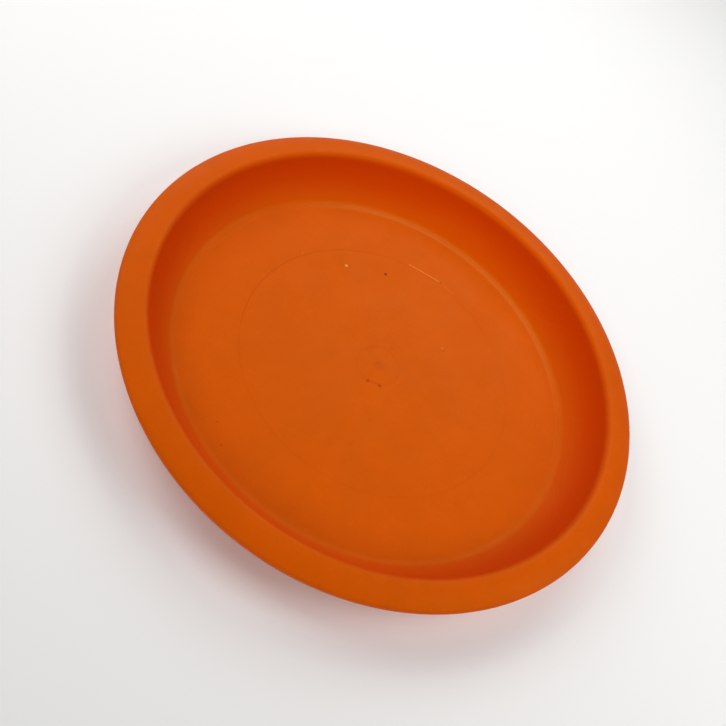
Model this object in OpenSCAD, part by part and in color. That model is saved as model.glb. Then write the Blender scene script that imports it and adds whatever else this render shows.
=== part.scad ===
// Flying disc, one moulding drawn as its zones, lying hollow side up.
// Origin at the middle of the flat outer face that it rests on, +Z up out of the hollow.

/* [Disc] */
// Outer diameter, across the nose
disc_d = 212; // [208:1:218]
// Height from the resting face to the top of the rim
disc_h = 20.4; // [19:0.1:22]

/* [Flight plate] */
// Thickness of the plate
plate_t = 2.1; // [1.8:0.1:2.6]
// Radius of the line left by the mould's round insert
insert_r = 57.3; // [40:0.1:70]

/* [Rim] */
// Width of the rim, from the nose in to where its inner wall meets the plate
rim_w = 23.6; // [22.5:0.1:25]
// Distance from the nose in to the middle of the rounded crest
crest_inset = 9.25; // [9.15:0.05:10]
// Rounding of the crest, where the inner wall turns over
crest_round = 2.8; // [2:0.1:3.2]
// Lean of the inner wall at its top, in degrees from level
wall_top_angle = 80; // [76:1:84]
// Height of the nose, the widest point of the disc, below the top of the rim
nose_drop = 2.9; // [2.5:0.05:3]
// Rounding of the nose
nose_round = 1.4; // [1.3:0.1:1.6]
// Rounding of the rim's domed band, between its top and the nose
brow_round = 19; // [14:1:20]

/* [Mould marks] */
// Width of the raised bead along the plate's edge
edge_bead_w = 2.0; // [1:0.1:2.4]
// Height of the raised bead along the plate's edge
edge_bead_h = 0.3; // [0.2:0.05:0.6]
// Width of the witness line round the insert
insert_line_w = 0.7; // [0.4:0.1:1.2]
// Height of the witness line round the insert
insert_line_h = 0.1; // [0.06:0.02:0.3]
// Radius of the ring mark round the gate
gate_ring_r = 9.1; // [6:0.1:14]
// Width of the ring mark round the gate
gate_ring_w = 0.8; // [0.5:0.1:1.5]
// Height of the ring mark round the gate
gate_ring_h = 0.1; // [0.06:0.02:0.4]
// Radius of the gate's stub at its foot
gate_pip_r = 1.9; // [1.2:0.1:3]
// Height of the gate's stub
gate_pip_h = 0.3; // [0.2:0.1:1]

/* [Hidden] */
$fn = 180;

disc_r = disc_d / 2;
plate_edge_r = disc_r - rim_w;
crest_r = disc_r - crest_inset;
// How far a cutting shape runs past what it cuts
past = 1;
// How far the nose stands proud of the arcs beside it, so that each meets it at one clean edge
nose_proud = 0.002;
// Flats on each half of the bead's rounded top
bead_steps = 4;

// Rim section, as points in the plane of radius and height.
crest_c = [crest_r, disc_h - crest_round];
nose_c = [disc_r - nose_round, disc_h - nose_drop];

// The wall's arc runs from its foot to where it turns over into the crest.
wall_foot = [plate_edge_r, plate_t];
wall_top = crest_c + crest_round * [-sin(wall_top_angle), cos(wall_top_angle)];
wall_chord = wall_top - wall_foot;
wall_chord_angle = atan2(wall_chord[1], wall_chord[0]);
wall_round = norm(wall_chord) / (2 * sin(wall_top_angle - wall_chord_angle));
wall_c = wall_top + wall_round * [-sin(wall_top_angle), cos(wall_top_angle)];

// The brow's arc leaves the top of the rim level and turns into the nose.
brow_z = disc_h - brow_round;
brow_rise = nose_c[1] - brow_z;
brow_c = [nose_c[0] - sqrt(pow(brow_round - nose_round, 2) - pow(brow_rise, 2)), brow_z];
brow_end = nose_c + nose_round * unit(nose_c - brow_c);

// The shoulder's arc leaves the resting face level and turns into the nose.
shoulder_run = nose_c[0] - plate_edge_r;
shoulder_round = (pow(shoulder_run, 2) + pow(nose_c[1], 2) - pow(nose_round, 2))
               / (2 * (nose_c[1] - nose_round));
shoulder_c = [plate_edge_r, shoulder_round];
shoulder_end = nose_c + nose_round * unit(nose_c - shoulder_c);

function unit(v) = v / norm(v);

module round_at(centre, r) {
    translate(centre) circle(r = r);
}

// The sliver between an arc and its chord, on the side that side_z points to.
module arc_segment(centre, r, from, to, side_z) {
    intersection() {
        round_at(centre, r);
        polygon([from, to, [to[0], side_z], [from[0], side_z]]);
    }
}

module rim_section() {
    difference() {
        union() {
            polygon([
                [plate_edge_r, 0], shoulder_end, nose_c, brow_end, [brow_c[0], disc_h],
                [crest_c[0], disc_h], crest_c, wall_top, wall_foot
            ]);
            round_at(crest_c, crest_round);
            round_at(nose_c, nose_round + nose_proud);
            arc_segment(shoulder_c, shoulder_round, [plate_edge_r, 0], shoulder_end, -past);
            arc_segment(brow_c, brow_round, [brow_c[0], disc_h], brow_end, disc_h + past);
        }
        round_at(wall_c, wall_round);
    }
}

// A low bead with a rounded top, w wide and h high, standing on the plate at radius r.
module round_bead(r, w, h) {
    bead_round = (pow(w / 2, 2) + pow(h, 2)) / (2 * h);
    half_sweep = asin(w / (2 * bead_round));
    rotate_extrude()
        translate([r, plate_t + h - bead_round])
            polygon([
                for (i = [-bead_steps : bead_steps])
                    let (a = half_sweep * i / bead_steps) bead_round * [sin(a), cos(a)]
            ]);
}

// A fine ridge with a flat top half as wide as its foot, standing on the plate at radius r.
module fine_ridge(r, w, h) {
    rotate_extrude()
        translate([r, plate_t])
            polygon([[-w / 2, 0], [w / 2, 0], [w / 4, h], [-w / 4, h]]);
}

// Nose, domed band, crest, inner wall and outer shoulder.
module rim() {
    color([0.83, 0.37, 0.09])
        rotate_extrude()
            rim_section();
}

// Flat plate from the insert line out to the foot of the inner wall.
module flight_plate() {
    color([0.82, 0.36, 0.06])
        difference() {
            cylinder(h = plate_t, r = plate_edge_r);
            translate([0, 0, -past])
                cylinder(h = plate_t + 2 * past, r = insert_r);
        }
}

// Flat middle of the plate, formed by the mould's round insert.
module centre_panel() {
    color([0.82, 0.38, 0.08])
        cylinder(h = plate_t, r = insert_r);
}

// Fine raised line where the plate meets the inner wall.
module plate_edge_bead() {
    color([0.85, 0.40, 0.13])
        round_bead(plate_edge_r - edge_bead_w / 2, edge_bead_w, edge_bead_h);
}

// Hair-fine raised circle where the insert met the rest of the mould.
module insert_line() {
    color([0.78, 0.33, 0.05])
        fine_ridge(insert_r, insert_line_w, insert_line_h);
}

// Ring mark round the gate.
module gate_ring() {
    color([0.78, 0.33, 0.05])
        fine_ridge(gate_ring_r, gate_ring_w, gate_ring_h);
}

// Stub where the moulding was cut from its gate.
module gate_pip() {
    color([0.80, 0.36, 0.07])
        translate([0, 0, plate_t])
            cylinder(h = gate_pip_h, r1 = gate_pip_r, r2 = gate_pip_r - gate_pip_h);
}

rim();
flight_plate();
centre_panel();
plate_edge_bead();
insert_line();
gate_ring();
gate_pip();
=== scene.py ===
"""An orange flying disc lying hollow side up on a plain pale floor.

Each zone of the moulding is its own lathed mesh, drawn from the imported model's sizes. The rim has the
section that the CAD source gives it. The raised marks are softer than there, and worn, and the plate is a
little wavy. Lengths are in millimetres, except for the floor and the lights, which are in metres. Azimuths
are in degrees, counted from +X towards +Y.
"""
import math

import bpy
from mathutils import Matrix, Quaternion, Vector, noise


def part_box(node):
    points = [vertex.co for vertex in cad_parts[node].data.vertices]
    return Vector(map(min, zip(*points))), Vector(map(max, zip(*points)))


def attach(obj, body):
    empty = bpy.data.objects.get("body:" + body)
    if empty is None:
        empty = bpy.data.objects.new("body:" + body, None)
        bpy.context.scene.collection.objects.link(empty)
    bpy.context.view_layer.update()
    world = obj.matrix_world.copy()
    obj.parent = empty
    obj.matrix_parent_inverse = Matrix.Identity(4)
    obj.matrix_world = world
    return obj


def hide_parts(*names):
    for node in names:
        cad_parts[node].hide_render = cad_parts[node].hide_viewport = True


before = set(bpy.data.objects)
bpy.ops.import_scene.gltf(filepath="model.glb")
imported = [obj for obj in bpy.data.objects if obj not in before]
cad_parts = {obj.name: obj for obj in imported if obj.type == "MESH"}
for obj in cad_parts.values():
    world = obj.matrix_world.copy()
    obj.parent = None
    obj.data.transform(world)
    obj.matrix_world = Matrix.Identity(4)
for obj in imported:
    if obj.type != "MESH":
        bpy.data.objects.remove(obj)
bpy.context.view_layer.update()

MM = 0.001
ROUNDING_ERROR = 1e-6

# ---------------------------------------------------------------- sizes

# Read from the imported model
DISC_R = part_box("rim")[1].x / MM
DISC_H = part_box("rim")[1].z / MM
PLATE_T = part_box("flight_plate")[1].z / MM
PLATE_EDGE_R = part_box("flight_plate")[1].x / MM
INSERT_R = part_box("centre_panel")[1].x / MM
BEAD_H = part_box("plate_edge_bead")[1].z / MM - PLATE_T
INSERT_LINE_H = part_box("insert_line")[1].z / MM - PLATE_T
INSERT_LINE_W = 2 * (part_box("insert_line")[1].x / MM - INSERT_R)
GATE_RING_OUT_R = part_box("gate_ring")[1].x / MM
GATE_RING_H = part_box("gate_ring")[1].z / MM - PLATE_T
PIP_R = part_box("gate_pip")[1].x / MM
PIP_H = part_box("gate_pip")[1].z / MM - PLATE_T

# The rim's section and the widths of two marks, as in the CAD source
CREST_INSET = 9.25
CREST_R = DISC_R - CREST_INSET
CREST_ROUND = 2.8
WALL_TOP_ANGLE = math.radians(80)
NOSE_DROP = 2.9
NOSE_ROUND = 1.4
BROW_ROUND = 19.0
BEAD_W = 2.0
BEAD_R = PLATE_EDGE_R - BEAD_W / 2
GATE_RING_W = 0.8
GATE_RING_R = GATE_RING_OUT_R - GATE_RING_W / 2

# How many flats a lathed piece has round its axis, and the bend from which an edge of it is sharp
SEGMENTS = 512
SHARP_BEND = math.radians(35)
# How many steps the outlines take along the shoulder and the wall, along the nose and the crest, along the
# brow, and over each raised mark
LONG_ARC_STEPS = 48
ROUND_STEPS = 18
BROW_STEPS = 20
BEAD_STEPS = 24
RIDGE_STEPS = 10
PIP_STEPS = 14
# How many rings the plate and its middle are split into
PLATE_RINGS = 20
PANEL_RINGS = 40
# How far a raised mark is sunk into the plate under it
SEAT = 0.15
# How far the plate's upper face wanders from flat, over what length, and how much of that it is sunk by
WAVE_HEIGHT = 0.035
WAVE_LENGTH = 42.0
WAVE_SINK = 0.5
# Over how much of the plate, just inside the bead along its edge, the waves die away
WAVE_FADE = 8.0
# Where the bead stands at its full height, and how much of it is left on the other side
BEAD_CLEAR_AZIMUTH = 92
BEAD_KEPT = 0.10
# The bead and the inner wall run into each other where their heights differ by less than this
BEAD_BLEND = 1.0
# How unevenly a mark is worn, as a share of what is left of it
WEAR_SWING = 0.4
# The dish in the top of the gate's stub: how much of the height it takes, and how many times narrower it is
DISH_DEPTH = 0.35
DISH_NARROWING = 2.2

# ---------------------------------------------------------------- outlines


def arc(centre, radius, start, end, steps):
    """Points along an arc, both ends included. Angles are in radians, from straight outward towards up."""
    return [
        (centre[0] + radius * math.cos(a), centre[1] + radius * math.sin(a))
        for a in (start + (end - start) * i / steps for i in range(steps + 1))
    ]


def wall_circle():
    """The centre and radius of the inner wall's arc, and its top and bottom points."""
    foot = (PLATE_EDGE_R, PLATE_T)
    top = (CREST_R - CREST_ROUND * math.sin(WALL_TOP_ANGLE),
           DISC_H - CREST_ROUND + CREST_ROUND * math.cos(WALL_TOP_ANGLE))
    chord_angle = math.atan2(top[1] - foot[1], top[0] - foot[0])
    wall_round = math.dist(top, foot) / (2 * math.sin(WALL_TOP_ANGLE - chord_angle))
    centre = (top[0] - wall_round * math.sin(WALL_TOP_ANGLE), top[1] + wall_round * math.cos(WALL_TOP_ANGLE))
    return centre, wall_round, top, foot


def wall_height(r):
    """The height of the inner wall's arc at radius r. The arc is carried on inward, past its foot."""
    centre, wall_round, _, _ = wall_circle()
    return centre[1] - math.sqrt(wall_round**2 - (r - centre[0]) ** 2)


def rim_outline():
    """The closed section of the rim: shoulder, nose, brow, land, crest, inner wall."""
    nose = (DISC_R - NOSE_ROUND, DISC_H - NOSE_DROP)
    shoulder_run = nose[0] - PLATE_EDGE_R
    shoulder_round = (shoulder_run**2 + nose[1]**2 - NOSE_ROUND**2) / (2 * (nose[1] - NOSE_ROUND))
    shoulder = (PLATE_EDGE_R, shoulder_round)
    shoulder_end = math.atan2(nose[1] - shoulder[1], shoulder_run)

    brow_z = DISC_H - BROW_ROUND
    brow_end = math.asin((nose[1] - brow_z) / (BROW_ROUND - NOSE_ROUND))
    brow = (nose[0] - (BROW_ROUND - NOSE_ROUND) * math.cos(brow_end), brow_z)

    crest = (CREST_R, DISC_H - CREST_ROUND)
    wall, wall_round, _, foot = wall_circle()
    wall_end = math.atan2(foot[1] - wall[1], foot[0] - wall[0])

    return (
        arc(shoulder, shoulder_round, -math.pi / 2, shoulder_end, LONG_ARC_STEPS)
        + arc(nose, NOSE_ROUND, shoulder_end, brow_end, ROUND_STEPS)[1:]
        + arc(brow, BROW_ROUND, brow_end, math.pi / 2, BROW_STEPS)[1:]
        + arc(crest, CREST_ROUND, math.pi / 2, math.pi / 2 + WALL_TOP_ANGLE, ROUND_STEPS)
        + arc(wall, wall_round, WALL_TOP_ANGLE - math.pi / 2, wall_end, LONG_ARC_STEPS)[1:]
    )


def slab_outline(inner_r, outer_r, height, rings):
    """A flat slab's closed section, split into rings. An inner radius of 0 closes on the axis."""
    radii = [inner_r + (outer_r - inner_r) * i / rings for i in range(rings + 1)]
    return [(r, 0.0) for r in radii] + [(r, height) for r in reversed(radii)]


def hump(t):
    """A rounded rise: 1 at t = 0, level and 0 at t = -1 and 1."""
    return 0.5 + 0.5 * math.cos(math.pi * t)


def ridge_outline(radius, width, height):
    """A low smooth ridge's closed section, with level feet, sunk a little into the plate."""
    half = width / 2
    across = [1 - 2 * i / RIDGE_STEPS for i in range(RIDGE_STEPS + 1)]
    top = [(radius + half * t, PLATE_T + height * hump(t)) for t in across]
    return top + [(radius - half, PLATE_T - SEAT), (radius + half, PLATE_T - SEAT)]


def bead_outline():
    """The bead along the plate's edge: level at its inner foot, and run smoothly into the inner wall."""
    half = BEAD_W / 2
    top = []
    r = BEAD_R - half
    while True:
        bead = PLATE_T + (BEAD_H * hump((r - BEAD_R) / half) if r < BEAD_R + half else 0.0)
        wall = wall_height(r)
        if wall - bead > BEAD_BLEND:
            break
        blend = max(BEAD_BLEND - abs(bead - wall), 0.0) ** 2 / (4 * BEAD_BLEND)
        top.append((r, max(bead, wall) + blend))
        r += BEAD_W / BEAD_STEPS
    return top[::-1] + [(BEAD_R - half, PLATE_T - SEAT), (top[-1][0], PLATE_T - SEAT)]


def pip_outline():
    """The gate's stub: a low dome, a little dished in the middle where it was cut."""
    dome = []
    for i in range(PIP_STEPS + 1):
        t = 1 - i / PIP_STEPS
        dished = 1 - DISH_DEPTH * hump(min(DISH_NARROWING * t, 1))
        dome.append((PIP_R * t, PLATE_T + PIP_H * hump(t) * dished))
    return dome + [(0.0, PLATE_T - SEAT), (PIP_R, PLATE_T - SEAT)]


# ---------------------------------------------------------------- ripples


def facing(a, azimuth):
    """How far the direction a, in radians, faces an azimuth: 1 towards it, 0 away from it."""
    return 0.5 + 0.5 * math.cos(a - math.radians(azimuth))


def plate_wave(r, a):
    """How far the plate's face stands off flat at a place: slow waves that die away at its edge."""
    point = Vector((r * math.cos(a), r * math.sin(a), 0.0)) / WAVE_LENGTH
    fade = min(max((PLATE_EDGE_R - BEAD_W - r) / WAVE_FADE, 0.0), 1.0)
    return WAVE_HEIGHT * (noise.noise(point) - WAVE_SINK) * fade


def waved_plate(r, z, a):
    """Waves on the plate's upper face only."""
    return plate_wave(r, a) if z > PLATE_T / 2 else 0.0


def worn_mark(clear_azimuth, full, faint, grain, seed):
    """A ripple that wears a mark down to a share of its height: full at clear_azimuth, faint opposite."""
    def ripple(r, z, a):
        wave = plate_wave(r, a)
        if z <= PLATE_T + ROUNDING_ERROR:
            return wave
        uneven = 1 + WEAR_SWING * noise.noise(Vector((math.cos(a), math.sin(a), seed)) * grain)
        kept = min((faint + (full - faint) * facing(a, clear_azimuth) ** 2) * uneven, 1.0)
        return wave - (1 - kept) * (z - PLATE_T)
    return ripple


def faded_bead(r, z, a):
    """Wears the bead along the plate's edge down, least at its clear azimuth and most opposite."""
    along = (r - BEAD_R) / (BEAD_W / 2)
    if z < PLATE_T or abs(along) > 1:
        return 0.0
    return -(1 - BEAD_KEPT) * (1 - facing(a, BEAD_CLEAR_AZIMUTH) ** 2) * BEAD_H * hump(along)


# ---------------------------------------------------------------- meshes


def lathe(name, outline, ripple=None):
    """Turns a closed outline about Z into a closed mesh. ripple(r, z, angle) moves a point along Z, in mm."""
    verts, faces, rings = [], [], []
    for r, z in outline:
        if r < ROUNDING_ERROR:
            rings.append([len(verts)] * SEGMENTS)
            verts.append((0, 0, (z + (ripple(0.0, z, 0.0) if ripple else 0.0)) * MM))
            continue
        rings.append(list(range(len(verts), len(verts) + SEGMENTS)))
        for s in range(SEGMENTS):
            a = 2 * math.pi * s / SEGMENTS
            lift = ripple(r, z, a) if ripple else 0.0
            verts.append((r * math.cos(a) * MM, r * math.sin(a) * MM, (z + lift) * MM))
    for i, ring in enumerate(rings):
        after = rings[(i + 1) % len(rings)]
        for s in range(SEGMENTS):
            t = (s + 1) % SEGMENTS
            corners = list(dict.fromkeys((ring[s], ring[t], after[t], after[s])))
            if len(corners) > 2:
                faces.append(corners)
    mesh = bpy.data.meshes.new(name)
    mesh.from_pydata(verts, [], faces)
    mesh.validate()
    mesh.shade_smooth()
    mesh.set_sharp_from_angle(angle=SHARP_BEND)
    piece = bpy.data.objects.new(name, mesh)
    bpy.context.scene.collection.objects.link(piece)
    return piece


def put_in_frame(piece, node, material):
    """Puts a finished piece in the frame, in place of its CAD node."""
    piece.data.materials.append(material)
    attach(piece, "root")
    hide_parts(node)


# ---------------------------------------------------------------- node helpers


class Nodes:
    """Short calls for building a material's node tree."""

    def __init__(self, material):
        material.use_nodes = True
        self.tree = material.node_tree
        self.tree.nodes.clear()

    def add(self, kind, **settings):
        """A new node with its settings made."""
        node = self.tree.nodes.new(kind)
        for key, value in settings.items():
            setattr(node, key, value)
        return node

    def join(self, source, target):
        self.tree.links.new(source, target)

    def feed(self, node, index, value):
        """Joins a socket to a node's input, or sets the input to a plain value."""
        if isinstance(value, bpy.types.NodeSocket):
            self.join(value, node.inputs[index])
        else:
            node.inputs[index].default_value = value

    def math(self, operation, a, b=0.0, c=0.0, clamp=False):
        node = self.add("ShaderNodeMath", operation=operation, use_clamp=clamp)
        for i, value in enumerate((a, b, c)):
            self.feed(node, i, value)
        return node.outputs[0]

    def vector(self, operation, a, b=(0, 0, 0)):
        node = self.add("ShaderNodeVectorMath", operation=operation)
        self.feed(node, 0, a)
        self.feed(node, 1, b)
        gives_number = operation in ("LENGTH", "DISTANCE", "DOT_PRODUCT")
        return node.outputs["Value" if gives_number else "Vector"]

    def stretch(self, point, scale, turn):
        """point turned about Z by turn degrees, then scaled along each axis."""
        turned = self.add("ShaderNodeVectorRotate", rotation_type="Z_AXIS")
        turned.inputs["Angle"].default_value = math.radians(turn)
        self.join(point, turned.inputs["Vector"])
        return self.vector("MULTIPLY", turned.outputs[0], scale)

    def noise(self, point, scale, detail=2.0, roughness=0.5):
        """Noise at a point, with scale as its features to the unit of length."""
        node = self.add("ShaderNodeTexNoise")
        self.join(point, node.inputs["Vector"])
        node.inputs["Scale"].default_value = scale
        node.inputs["Detail"].default_value = detail
        node.inputs["Roughness"].default_value = roughness
        return node.outputs["Fac"]

    def span(self, value, low, high, to_low=0.0, to_high=1.0):
        """A smooth step from to_low, where value is low, to to_high, where it is high."""
        node = self.add("ShaderNodeMapRange", interpolation_type="SMOOTHSTEP")
        for i, v in enumerate((value, low, high, to_low, to_high)):
            self.feed(node, i, v)
        return node.outputs[0]

    def mix(self, factor, a, b):
        """The colour a where factor is 0, b where it is 1. A Mix node's colours are sockets 6, 7 and 2."""
        node = self.add("ShaderNodeMix", data_type="RGBA")
        self.feed(node, 0, factor)
        self.feed(node, 6, a)
        self.feed(node, 7, b)
        return node.outputs[2]


# ---------------------------------------------------------------- materials

# Colours, linear, and the floor's roughness
RIM_COLOUR = (0.67, 0.091, 0.0010)
# Painted shade: the inner wall's colour, darker and redder than the rim's, for the shade and the orange light
# bounced inside the hollow
WALL_SHADE_COLOUR = (0.68, 0.059, 0.0005)
PLATE_COLOUR = (0.66, 0.094, 0.0010)
MARK_COLOUR = (0.64, 0.089, 0.0010)
# Hairlines and scuffs, and the painted highlight along the bead at the plate's edge, take this paler colour
SCUFF_AND_HIGHLIGHT_COLOUR = (0.80, 0.240, 0.045, 1.0)
PALE_SPECK_COLOUR = (0.88, 0.370, 0.110, 1.0)
# Dark specks, the dark arcs on the gate ring and the painted shade along the insert line take this colour
DIRT_AND_SHADE_COLOUR = (0.28, 0.014, 0.001, 1.0)
FLOOR_COLOUR = (0.98, 0.975, 0.965, 1)
FLOOR_ROUGHNESS = 0.9

# The plastic's deepest and lightest tone, as shares of its colour
DEEP_TONE = 0.93
LIGHT_TONE = 1.07
# How much each layer of noise adds to the tone, and the span of their sum that goes from deep to light
CLOUD_TONE = 0.42
FLOW_TONE = 0.12
MOTTLE_TONE = 0.26
FLECK_TONE = 0.20
TONE_SPAN = (0.25, 0.75)
# How much each layer adds to the relief of the surface
GRAIN_RELIEF = 0.5
MOTTLE_RELIEF = 0.35
RINGS_RELIEF = 0.12
SCRATCH_RELIEF = -0.6
# How fine the layers of noise in the plastic are, in features to the metre
CLOUD_SCALE = 34.0
SATIN_SCALE = 60.0
MOTTLE_SCALE = 160.0
FLECK_SCALE = 1100.0
GRAIN_SCALE = 2300.0
# The same for the flow lines and the turned mould's rings: how fine round the disc, and along a radius
FLOW_ROUND = 7
FLOW_ALONG = 9.0
RINGS_ROUND = 2
RINGS_ALONG = 950.0

# Satin finish: the span of noise that its roughness follows, that roughness, and what wear and the painted
# highlight along the bead add to it
SATIN_SPAN = (0.3, 0.7)
ROUGHNESS_SPAN = (0.46, 0.56)
WORN_ROUGHNESS = 0.15
# Its reflection, and the strength and height of its relief
SPECULAR_LEVEL = 0.22
SPECULAR_TINT = (1.0, 0.55, 0.0, 1.0)
BUMP_STRENGTH = 0.35
BUMP_HEIGHT = 0.05

# The painted shade on the inner wall, a darker and redder colour, starts, and is full, this far in from the
# middle of the crest
WALL_SHADE_START = 0.5
WALL_SHADE_FULL = 3.5
# The painted shade fades over this run out from the wall's foot, down to a share of itself at the foot
WALL_SHADE_FOOT_RUN = 9
WALL_SHADE_FOOT_SHARE = 0.35

# The faces that open to the hollow lie above a level, given as a span of shares of the plate's thickness.
# Outside the plate's edge the level rises by this slope, between the inner wall and the shoulder.
INSIDE_SPAN = (0.5, 0.8)
INSIDE_SLOPE = 0.45

# How strongly hairline scratches show in the hollow, and on the outer face that it lands and slides on
HOLLOW_WEAR = 0.05
OUTER_WEAR = 0.40
# The directions of the scratches, in degrees, and the noise that they and the breaks in them are cut from
SCRATCH_TURNS = (12, 74, 139)
LINE_SCALE = (18, 1500, 18)
LINE_SPAN = (0.69, 0.74)
BREAK_SCALE = (70, 70, 70)
BREAK_SPAN = (0.52, 0.62)
BREAK_TURN = 31

# The share of a mark's radius or half width, or of an arc's half sweep, inside which it shows in full
SPOT_CORE = 0.35
SCUFF_CORE = 0.3
ARC_CORE = 0.25
SWEEP_CORE = 0.4

# A spot on the plate, dark with dirt or pale with dust: x, y, radius, how strongly it covers
DARK_SPOTS = (
    (-19.6, 43.6, 1.0, 1.0),
    (1.6, 58.9, 0.6, 0.5),
    (0.1, -9.6, 1.1, 0.5),
    (5.0, -8.3, 1.1, 0.5),
    (0.7, 11.3, 1.0, 0.15),
    (0.3, 0.6, 3.6, 0.07),
    (18.9, 26.7, 0.6, 0.35),
    (9.2, -24.6, 0.8, 0.15),
    (-35.4, -64.9, 0.7, 0.3),
    (-29.3, -71.7, 0.7, 0.35),
)
PALE_SPOTS = (
    (-35.0, 34.3, 0.9, 0.9),
    (17.9, 27.6, 0.6, 0.35),
    (-52.5, 25.5, 0.45, 0.4),
)
# A scuff on the plate: from x, y to x, y, its half width, how strongly it shows
SCUFFS = (
    (-14.0, 56.8, 1.0, 58.9, 0.42, 0.70),
    (4.0, 58.4, 8.5, 57.6, 0.25, 0.30),
)
# A mark along a circle on the plate: its radius, azimuth, half sweep, half width, how strongly it shows
# Dark arcs: the one along the insert line is painted shade, on the side of its step that faces away from the
# light; the two on the gate ring darken short stretches of it
DARK_ARCS = (
    (INSERT_R, 165, 60, 0.35, 0.09),
    (GATE_RING_R, -74, 30, 0.9, 0.11),
    (GATE_RING_R - 0.9, 145, 24, 0.8, 0.14),
)
# Painted highlight: a paler band along the bead at the plate's edge, strongest on the far side, for the light
# the bead reflects there
BEAD_HIGHLIGHT_ARCS = (
    (BEAD_R + 0.1, 88, 66, 2.2, 0.26),
)


def spot(n, flat, x, y, radius, strength):
    """A soft-edged round spot on the plate."""
    gap = n.vector("DISTANCE", flat, (x * MM, y * MM, 0))
    return n.span(gap, radius * MM, radius * MM * SPOT_CORE, 0.0, strength)


def scuff(n, flat, x0, y0, x1, y1, half_width, strength):
    """A thin straight scuff between two places on the plate, with soft edges."""
    run = Vector((x1 - x0, y1 - y0, 0)) * MM
    step = n.vector("SUBTRACT", flat, (x0 * MM, y0 * MM, 0))
    along = n.math("MULTIPLY", n.vector("DOT_PRODUCT", step, run), 1 / run.length_squared, clamp=True)
    nearest = n.vector("MULTIPLY", along, run)
    gap = n.vector("DISTANCE", step, nearest)
    return n.span(gap, half_width * MM, half_width * MM * SCUFF_CORE, 0.0, strength)


def arc_mark(n, radius, outward, ring_r, azimuth, half_sweep, half_width, strength):
    """A soft mark along part of a circle, faded at its ends."""
    off = n.math("ABSOLUTE", n.math("SUBTRACT", radius, ring_r * MM))
    across = n.span(off, half_width * MM, half_width * MM * ARC_CORE, 0.0, strength)
    turn = math.radians(azimuth)
    towards = n.vector("DOT_PRODUCT", outward, (math.cos(turn), math.sin(turn), 0))
    sweep = math.radians(half_sweep)
    return n.math("MULTIPLY", across, n.span(towards, math.cos(sweep), math.cos(sweep * SWEEP_CORE)))


def strongest(n, masks):
    """The largest of several masks, at each place."""
    top = masks[0]
    for mask in masks[1:]:
        top = n.math("MAXIMUM", top, mask)
    return top


def hairlines(n, point):
    """Sparse hairline scratches, with one set of parallel ones for each turn."""
    sets = []
    for turn in SCRATCH_TURNS:
        lines = n.noise(n.stretch(point, LINE_SCALE, turn), 1.0, detail=1.0)
        breaks = n.noise(n.stretch(point, BREAK_SCALE, turn + BREAK_TURN), 1.0, detail=1.0)
        sets.append(n.math("MULTIPLY", n.span(lines, *LINE_SPAN), n.span(breaks, *BREAK_SPAN)))
    return strongest(n, sets)


def polar_point(n, radius, outward, around, along):
    """A point for noise that is as fine as around round the disc, and as along out from its middle."""
    step = n.add("ShaderNodeCombineXYZ")
    n.join(n.math("MULTIPLY", radius, along), step.inputs["Z"])
    return n.vector("ADD", n.vector("MULTIPLY", outward, (around, around, 0)), step.outputs[0])


def clouded_colour(n, point, mottle, radius, outward, colour):
    """The plastic's colour, clouded and flecked, with flow lines that run out from the gate."""
    flow = n.noise(polar_point(n, radius, outward, FLOW_ROUND, FLOW_ALONG), 1.0, detail=3.0, roughness=0.55)
    cloud = n.noise(point, CLOUD_SCALE, detail=4.0, roughness=0.55)
    fleck = n.noise(point, FLECK_SCALE, detail=1.0)
    tone = n.math("MULTIPLY", cloud, CLOUD_TONE)
    for layer, share in ((flow, FLOW_TONE), (mottle, MOTTLE_TONE), (fleck, FLECK_TONE)):
        tone = n.math("MULTIPLY_ADD", layer, share, tone)
    deep = tuple(c * DEEP_TONE for c in colour) + (1.0,)
    light = tuple(c * LIGHT_TONE for c in colour) + (1.0,)
    return n.mix(n.span(tone, *TONE_SPAN), deep, light)


def hollow_side(n, point, radius):
    """1 on the faces that open to the hollow, 0 on the outer face under the plate and the rim."""
    parts = n.add("ShaderNodeSeparateXYZ")
    n.join(point, parts.inputs["Vector"])
    past_plate = n.math("MAXIMUM", n.math("SUBTRACT", radius, PLATE_EDGE_R * MM), 0.0)
    lifted = n.math("MULTIPLY_ADD", past_plate, -INSIDE_SLOPE, parts.outputs["Z"])
    return n.span(lifted, INSIDE_SPAN[0] * PLATE_T * MM, INSIDE_SPAN[1] * PLATE_T * MM)


def wall_shade_share(n, radius):
    """How much of the painted shade on the inner wall the rim takes at a radius."""
    below_crest = n.span(radius, (CREST_R - WALL_SHADE_START) * MM, (CREST_R - WALL_SHADE_FULL) * MM)
    foot_end = (PLATE_EDGE_R + WALL_SHADE_FOOT_RUN) * MM
    above_foot = n.span(radius, PLATE_EDGE_R * MM, foot_end, WALL_SHADE_FOOT_SHARE, 1.0)
    return n.math("MULTIPLY", below_crest, above_foot)


def surface_relief(n, point, mottle, radius, outward, scratch):
    """A bump of fine grain, faint rings left by the turned mould, and scratches."""
    rings = n.noise(polar_point(n, radius, outward, RINGS_ROUND, RINGS_ALONG), 1.0, detail=2.0)
    grain = n.noise(point, GRAIN_SCALE, detail=2.0, roughness=0.6)
    height = n.math("MULTIPLY", grain, GRAIN_RELIEF)
    for layer, share in ((mottle, MOTTLE_RELIEF), (rings, RINGS_RELIEF), (scratch, SCRATCH_RELIEF)):
        height = n.math("MULTIPLY_ADD", layer, share, height)
    bump = n.add("ShaderNodeBump")
    bump.inputs["Strength"].default_value = BUMP_STRENGTH
    bump.inputs["Distance"].default_value = BUMP_HEIGHT * MM
    n.join(height, bump.inputs["Height"])
    return bump.outputs[0]


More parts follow.
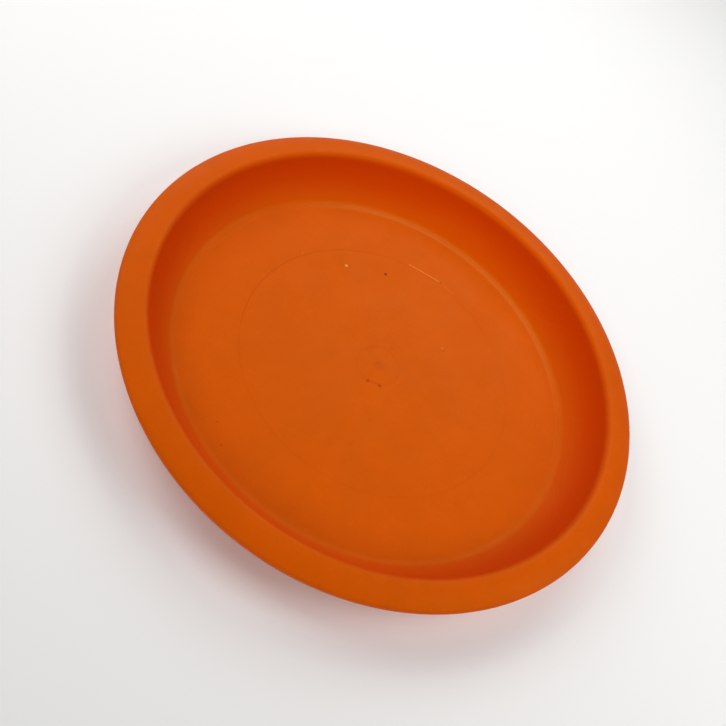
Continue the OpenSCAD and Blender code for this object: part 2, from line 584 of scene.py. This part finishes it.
def moulded_plastic(name, colour, wall_shade_colour=None, dark=(), pale=(), scuffs=(), dark_arcs=(),
                    highlight_arcs=()):
    """Satin orange plastic with hairline scratches all over. Its other marks, with the painted shade on the
    inner wall and the painted highlight along the bead, are kept to the hollow side.
    """
    material = bpy.data.materials.new(name)
    n = Nodes(material)
    point = n.add("ShaderNodeTexCoord").outputs["Object"]
    flat = n.vector("MULTIPLY", point, (1, 1, 0))
    radius = n.vector("LENGTH", flat)
    outward = n.vector("NORMALIZE", flat)
    inside = hollow_side(n, point, radius)
    mottle = n.noise(point, MOTTLE_SCALE, detail=3.0, roughness=0.6)

    base = clouded_colour(n, point, mottle, radius, outward, colour)
    # Painted shade: the inner wall takes the darker, redder wall colour
    if wall_shade_colour:
        wall = n.math("MULTIPLY", wall_shade_share(n, radius), inside)
        base = n.mix(wall, base, wall_shade_colour + (1.0,))

    # Hairlines and scuffs, and the painted highlight along the bead at the plate's edge
    scratch = n.math("MULTIPLY", hairlines(n, point), n.span(inside, 0.0, 1.0, OUTER_WEAR, HOLLOW_WEAR))
    worn = scratch
    rubs_and_highlight = [scuff(n, flat, *s) for s in scuffs] + [arc_mark(n, radius, outward, *s) for s in highlight_arcs]
    if rubs_and_highlight:
        worn = n.math("MAXIMUM", scratch, n.math("MULTIPLY", strongest(n, rubs_and_highlight), inside))
    base = n.mix(worn, base, SCUFF_AND_HIGHLIGHT_COLOUR)

    # Dust, dirt, dark arcs on the gate ring, and painted shade along the insert line
    dust = [spot(n, flat, *s) for s in pale]
    dirt_and_shade = [spot(n, flat, *s) for s in dark] + [arc_mark(n, radius, outward, *s) for s in dark_arcs]
    for marks, mark_colour in ((dust, PALE_SPECK_COLOUR), (dirt_and_shade, DIRT_AND_SHADE_COLOUR)):
        if marks:
            base = n.mix(n.math("MULTIPLY", strongest(n, marks), inside), base, mark_colour)

    shader = n.add("ShaderNodeBsdfPrincipled")
    n.join(base, shader.inputs["Base Color"])
    satin = n.span(n.noise(point, SATIN_SCALE, detail=3.0), *SATIN_SPAN, *ROUGHNESS_SPAN)
    n.join(n.math("MULTIPLY_ADD", worn, WORN_ROUGHNESS, satin), shader.inputs["Roughness"])
    shader.inputs["Specular IOR Level"].default_value = SPECULAR_LEVEL
    shader.inputs["Specular Tint"].default_value = SPECULAR_TINT
    n.join(surface_relief(n, point, mottle, radius, outward, scratch), shader.inputs["Normal"])
    n.join(shader.outputs[0], n.add("ShaderNodeOutputMaterial").inputs["Surface"])
    return material


def floor_material():
    """A plain pale matt floor."""
    material = bpy.data.materials.new("pale_floor")
    n = Nodes(material)
    shader = n.add("ShaderNodeBsdfPrincipled")
    shader.inputs["Base Color"].default_value = FLOOR_COLOUR
    shader.inputs["Roughness"].default_value = FLOOR_ROUGHNESS
    shader.inputs["Specular IOR Level"].default_value = 0.0
    n.join(shader.outputs[0], n.add("ShaderNodeOutputMaterial").inputs["Surface"])
    return material


# ---------------------------------------------------------------- the disc

rim_plastic = moulded_plastic("rim_plastic", RIM_COLOUR, WALL_SHADE_COLOUR, highlight_arcs=BEAD_HIGHLIGHT_ARCS)
plate_plastic = moulded_plastic("plate_plastic", PLATE_COLOUR, dark=DARK_SPOTS, pale=PALE_SPOTS,
                                scuffs=SCUFFS, dark_arcs=DARK_ARCS, highlight_arcs=BEAD_HIGHLIGHT_ARCS)
mark_plastic = moulded_plastic("mark_plastic", MARK_COLOUR, dark=DARK_SPOTS, dark_arcs=DARK_ARCS)

# Where each mark is clearest, its share kept there and opposite, and the grain and seed of its wear
worn_insert_line = worn_mark(clear_azimuth=165, full=0.7, faint=0.08, grain=4.0, seed=3.0)
worn_gate_ring = worn_mark(clear_azimuth=-75, full=0.3, faint=0.03, grain=2.5, seed=7.0)
worn_gate_stub = worn_mark(clear_azimuth=120, full=0.45, faint=0.12, grain=1.5, seed=11.0)

rim = lathe("rim_moulding", rim_outline())
put_in_frame(rim, "rim", rim_plastic)

flight_plate_outline = slab_outline(INSERT_R, PLATE_EDGE_R, PLATE_T, PLATE_RINGS)
flight_plate = lathe("flight_plate_moulding", flight_plate_outline, waved_plate)
put_in_frame(flight_plate, "flight_plate", plate_plastic)

centre_panel_outline = slab_outline(0.0, INSERT_R, PLATE_T, PANEL_RINGS)
centre_panel = lathe("centre_panel_moulding", centre_panel_outline, waved_plate)
put_in_frame(centre_panel, "centre_panel", plate_plastic)

edge_bead = lathe("plate_edge_bead_moulding", bead_outline(), faded_bead)
put_in_frame(edge_bead, "plate_edge_bead", plate_plastic)

insert_line_outline = ridge_outline(INSERT_R, INSERT_LINE_W, INSERT_LINE_H)
insert_line = lathe("insert_witness_line", insert_line_outline, worn_insert_line)
put_in_frame(insert_line, "insert_line", mark_plastic)

gate_ring_outline = ridge_outline(GATE_RING_R, GATE_RING_W, GATE_RING_H)
gate_ring = lathe("gate_ring_mark", gate_ring_outline, worn_gate_ring)
put_in_frame(gate_ring, "gate_ring", mark_plastic)

gate_stub = lathe("gate_stub", pip_outline(), worn_gate_stub)
put_in_frame(gate_stub, "gate_pip", mark_plastic)

# ---------------------------------------------------------------- stage

# Half the floor's side, in metres
FLOOR_HALF = 6.0

floor_mesh = bpy.data.meshes.new("floor")
floor_mesh.from_pydata(
    [(-FLOOR_HALF, -FLOOR_HALF, 0), (FLOOR_HALF, -FLOOR_HALF, 0),
     (FLOOR_HALF, FLOOR_HALF, 0), (-FLOOR_HALF, FLOOR_HALF, 0)],
    [], [(0, 1, 2, 3)],
)
floor = bpy.data.objects.new("floor", floor_mesh)
floor_mesh.materials.append(floor_material())
bpy.context.scene.collection.objects.link(floor)


def compass(azimuth, elevation):
    """The direction from the disc that an azimuth and an elevation in degrees give, one unit long."""
    turn, rise = math.radians(azimuth), math.radians(elevation)
    return Vector((math.cos(turn) * math.cos(rise), math.sin(turn) * math.cos(rise), math.sin(rise)))


def add_light(name, kind, position, **settings):
    """A light at a position in metres, which faces the disc and is not seen itself."""
    data = bpy.data.lights.new(name, kind)
    for key, value in settings.items():
        setattr(data, key, value)
    light = bpy.data.objects.new(name, data)
    light.location = position
    light.rotation_mode = "QUATERNION"
    light.rotation_quaternion = (-Vector(position)).to_track_quat("-Z", "Y")
    light.visible_camera = False
    bpy.context.scene.collection.objects.link(light)


# How far the softboxes stand from the disc, and the side of each, in metres
BOX_DISTANCE = 0.55
BOX_SIZE = 0.32
# Each softbox: its name, azimuth, elevation, power in watts
SOFTBOXES = (
    ("softbox_right", 0, 45, 1.02),
    ("softbox_far", 90, 45, 0.85),
    ("softbox_low", 135, 24, 0.31),
    ("softbox_left", 180, 45, 0.90),
)
# One wide soft light from far off, and the even light of the room
SKY_AZIMUTH = 270
SKY_ELEVATION = 40
SKY_SPREAD = math.radians(25)
SKY_STRENGTH = 0.98
ROOM_COLOUR = (1, 0.995, 0.985, 1)
ROOM_STRENGTH = 0.09

add_light("sky", "SUN", compass(SKY_AZIMUTH, SKY_ELEVATION), energy=SKY_STRENGTH, angle=SKY_SPREAD)
for name, azimuth, elevation, power in SOFTBOXES:
    position = compass(azimuth, elevation) * BOX_DISTANCE
    add_light(name, "AREA", position, shape="SQUARE", size=BOX_SIZE, energy=power)

world = bpy.data.worlds.new("studio")
bpy.context.scene.world = world
world.use_nodes = True
background = world.node_tree.nodes["Background"]
background.inputs["Color"].default_value = ROOM_COLOUR
background.inputs["Strength"].default_value = ROOM_STRENGTH

# ---------------------------------------------------------------- camera

# The view looks down on the hollow, rolled so that the far side is at the upper right.
CAMERA_AIM = Vector((-5.46, -3.78, PLATE_T)) * MM
CAMERA_DISTANCE = 379.7 * MM
CAMERA_ELEVATION = math.radians(50.46)
CAMERA_ROLL = math.radians(35.52)
CAMERA_LENS = 47.53
CAMERA_SENSOR = 36.0
CAMERA_NEAR = 10 * MM

toward = Vector((0, -math.cos(CAMERA_ELEVATION), math.sin(CAMERA_ELEVATION)))
camera_data = bpy.data.cameras.new("camera")
camera_data.lens = CAMERA_LENS
camera_data.sensor_width = CAMERA_SENSOR
camera_data.clip_start = CAMERA_NEAR
camera = bpy.data.objects.new("camera", camera_data)
camera.location = CAMERA_AIM + toward * CAMERA_DISTANCE
camera.rotation_mode = "QUATERNION"
camera.rotation_quaternion = (-toward).to_track_quat("-Z", "Y") @ Quaternion((0, 0, 1), CAMERA_ROLL)
bpy.context.scene.collection.objects.link(camera)
bpy.context.scene.camera = camera

bpy.context.scene.view_settings.view_transform = "Standard"
